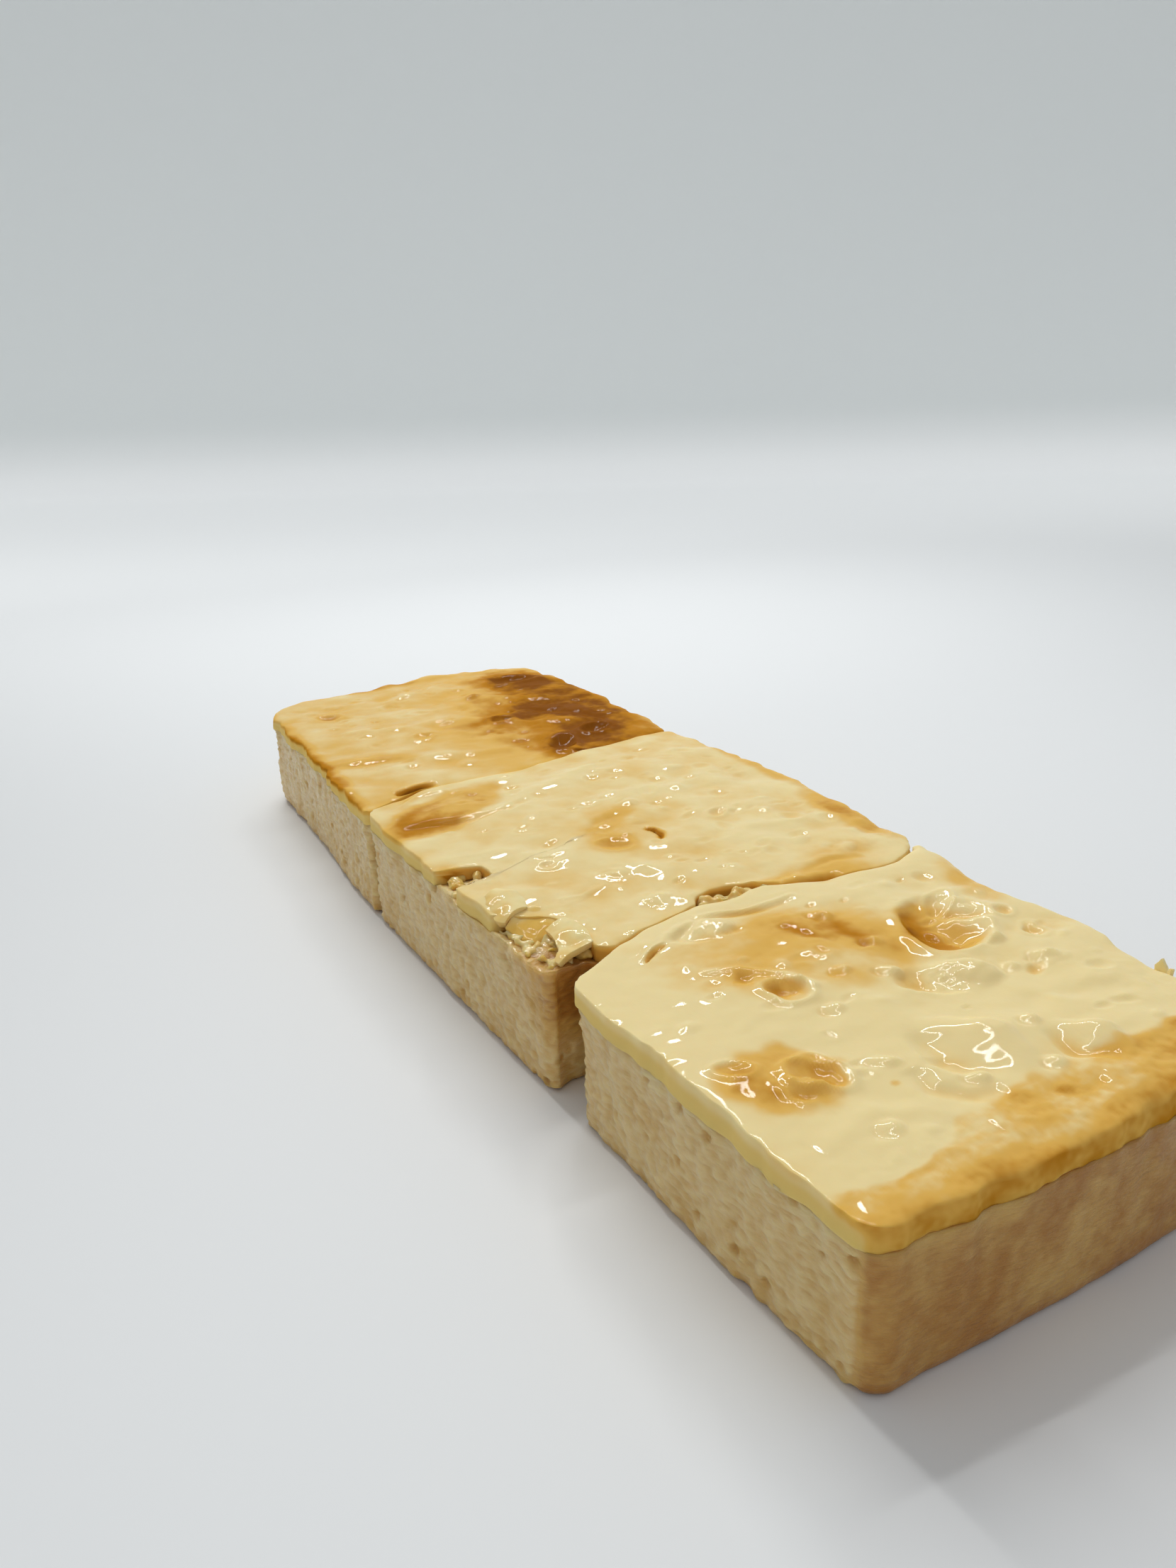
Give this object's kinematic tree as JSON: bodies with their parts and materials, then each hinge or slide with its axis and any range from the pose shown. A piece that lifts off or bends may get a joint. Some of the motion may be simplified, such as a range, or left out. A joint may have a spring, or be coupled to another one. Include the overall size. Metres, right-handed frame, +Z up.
{
  "type": "cassava cake",
  "caption": "Baked cassava cake with a blistered, browned custard top, cut into square slices that still stand together as one slab.",
  "frame": {"origin": "on the surface the cake stands on, below the middle of its bounding box", "axes": "+Z up; +Y along the slab from its browned near end to its rounded far end; +X across the slab to the right as seen from the near end"},
  "size_m": [0.079, 0.2231, 0.0231],
  "materials": {
    "cassava": "dense moist grated cassava, pale amber, faintly translucent",
    "custard": "glossy baked custard, cream with brown patches"
  },
  "bodies": {
    "root": {"cassava_near": "cassava", "cassava_middle": "cassava", "cassava_far": "cassava", "custard_near": "custard", "custard_middle": "custard", "custard_far": "custard"}
  },
  "joints": []
}
